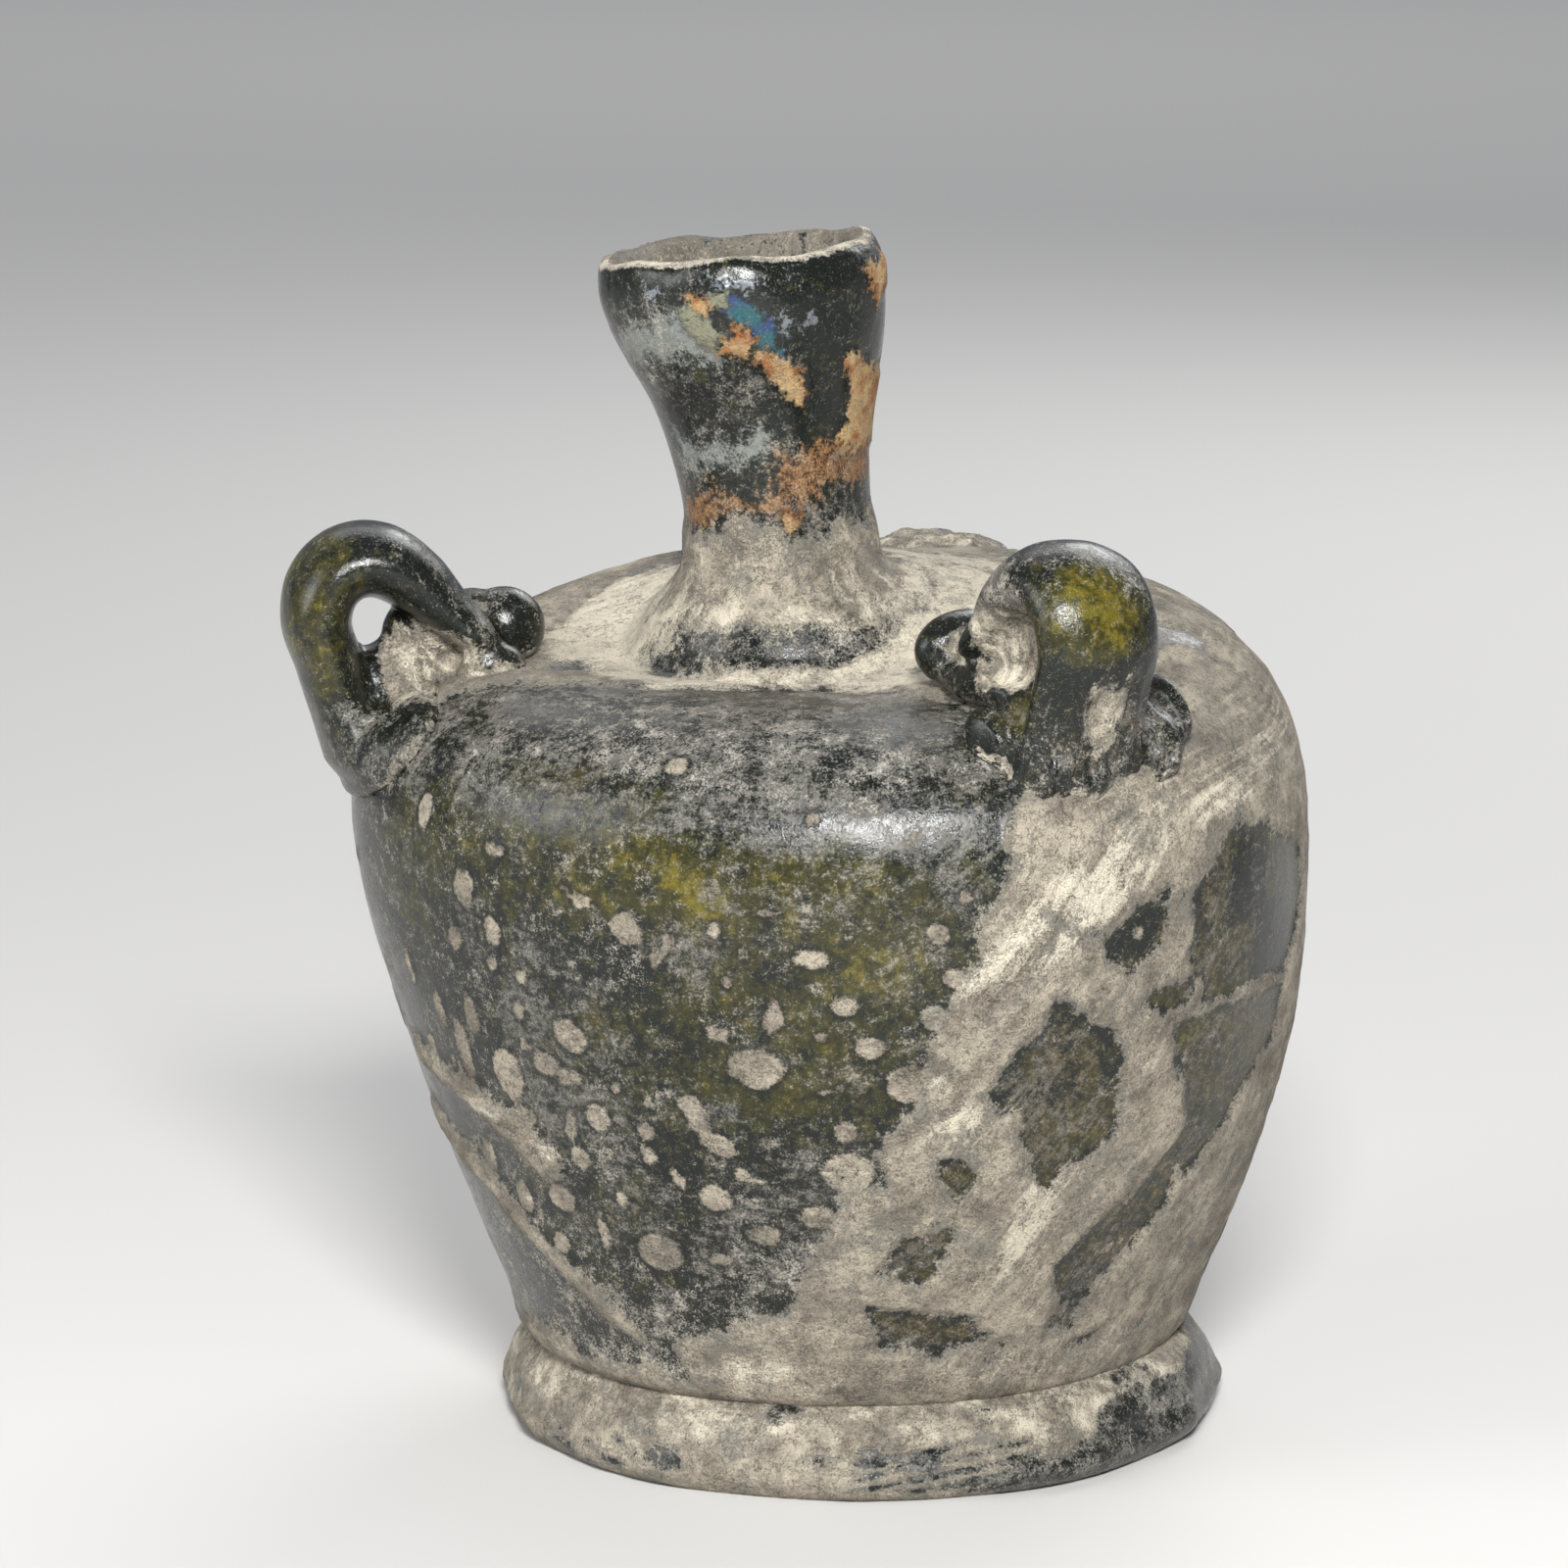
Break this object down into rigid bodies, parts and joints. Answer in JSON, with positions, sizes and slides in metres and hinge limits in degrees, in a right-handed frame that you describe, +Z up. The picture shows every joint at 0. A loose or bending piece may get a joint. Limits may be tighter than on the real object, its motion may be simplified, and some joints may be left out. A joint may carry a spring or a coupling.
{
  "type": "roman glass bottle",
  "caption": "Small thick-walled ancient glass bottle with a bulging body, leaning funnel neck, flared foot ring and trailed loop handles, weathered and crusted with soil.",
  "frame": {"origin": "on the standing plane, under the middle of the whole part's box", "axes": "+Z up; -Y towards the side with the soil line in front of the neck; the intact loop handles are at -X and at the front towards +X"},
  "size_m": [0.075, 0.07, 0.0881],
  "materials": {
    "glass": "satin",
    "foot_glass": "matte",
    "handle_glass": "gloss"
  },
  "bodies": {
    "root": {"vessel": "glass", "foot_ring": "foot_glass", "handle_left": "handle_glass", "handle_right": "handle_glass", "handle_back_stub": "handle_glass"}
  },
  "joints": []
}
